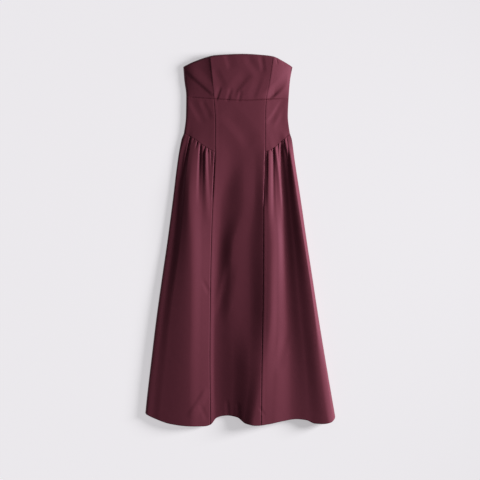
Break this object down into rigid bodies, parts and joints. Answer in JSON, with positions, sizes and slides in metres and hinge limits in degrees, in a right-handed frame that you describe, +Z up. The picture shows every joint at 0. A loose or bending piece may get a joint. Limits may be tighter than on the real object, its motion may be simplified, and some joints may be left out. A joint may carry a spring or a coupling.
{
  "type": "strapless dress",
  "caption": "Strapless ankle-length dress laid flat, with a bust band, princess seams and gathered side skirts falling in soft folds.",
  "frame": {"origin": "on the table, under the middle of the laid dress's box", "axes": "+X to the right as the front is looked at, +Y to the neckline, +Z up from the table"},
  "size_m": [0.6495, 1.268, 0.0377],
  "materials": {
    "crepe": "satin-faced crepe in dark wine, softly lustrous"
  },
  "bodies": {
    "root": {"bust_centre": "crepe", "bust_side_left": "crepe", "bust_side_right": "crepe", "centre_front": "crepe", "waist_side_left": "crepe", "waist_side_right": "crepe", "skirt_side_left": "crepe", "skirt_side_right": "crepe", "back_bodice_left": "crepe", "back_bodice_right": "crepe", "back_skirt_left": "crepe", "back_skirt_right": "crepe"}
  },
  "joints": []
}
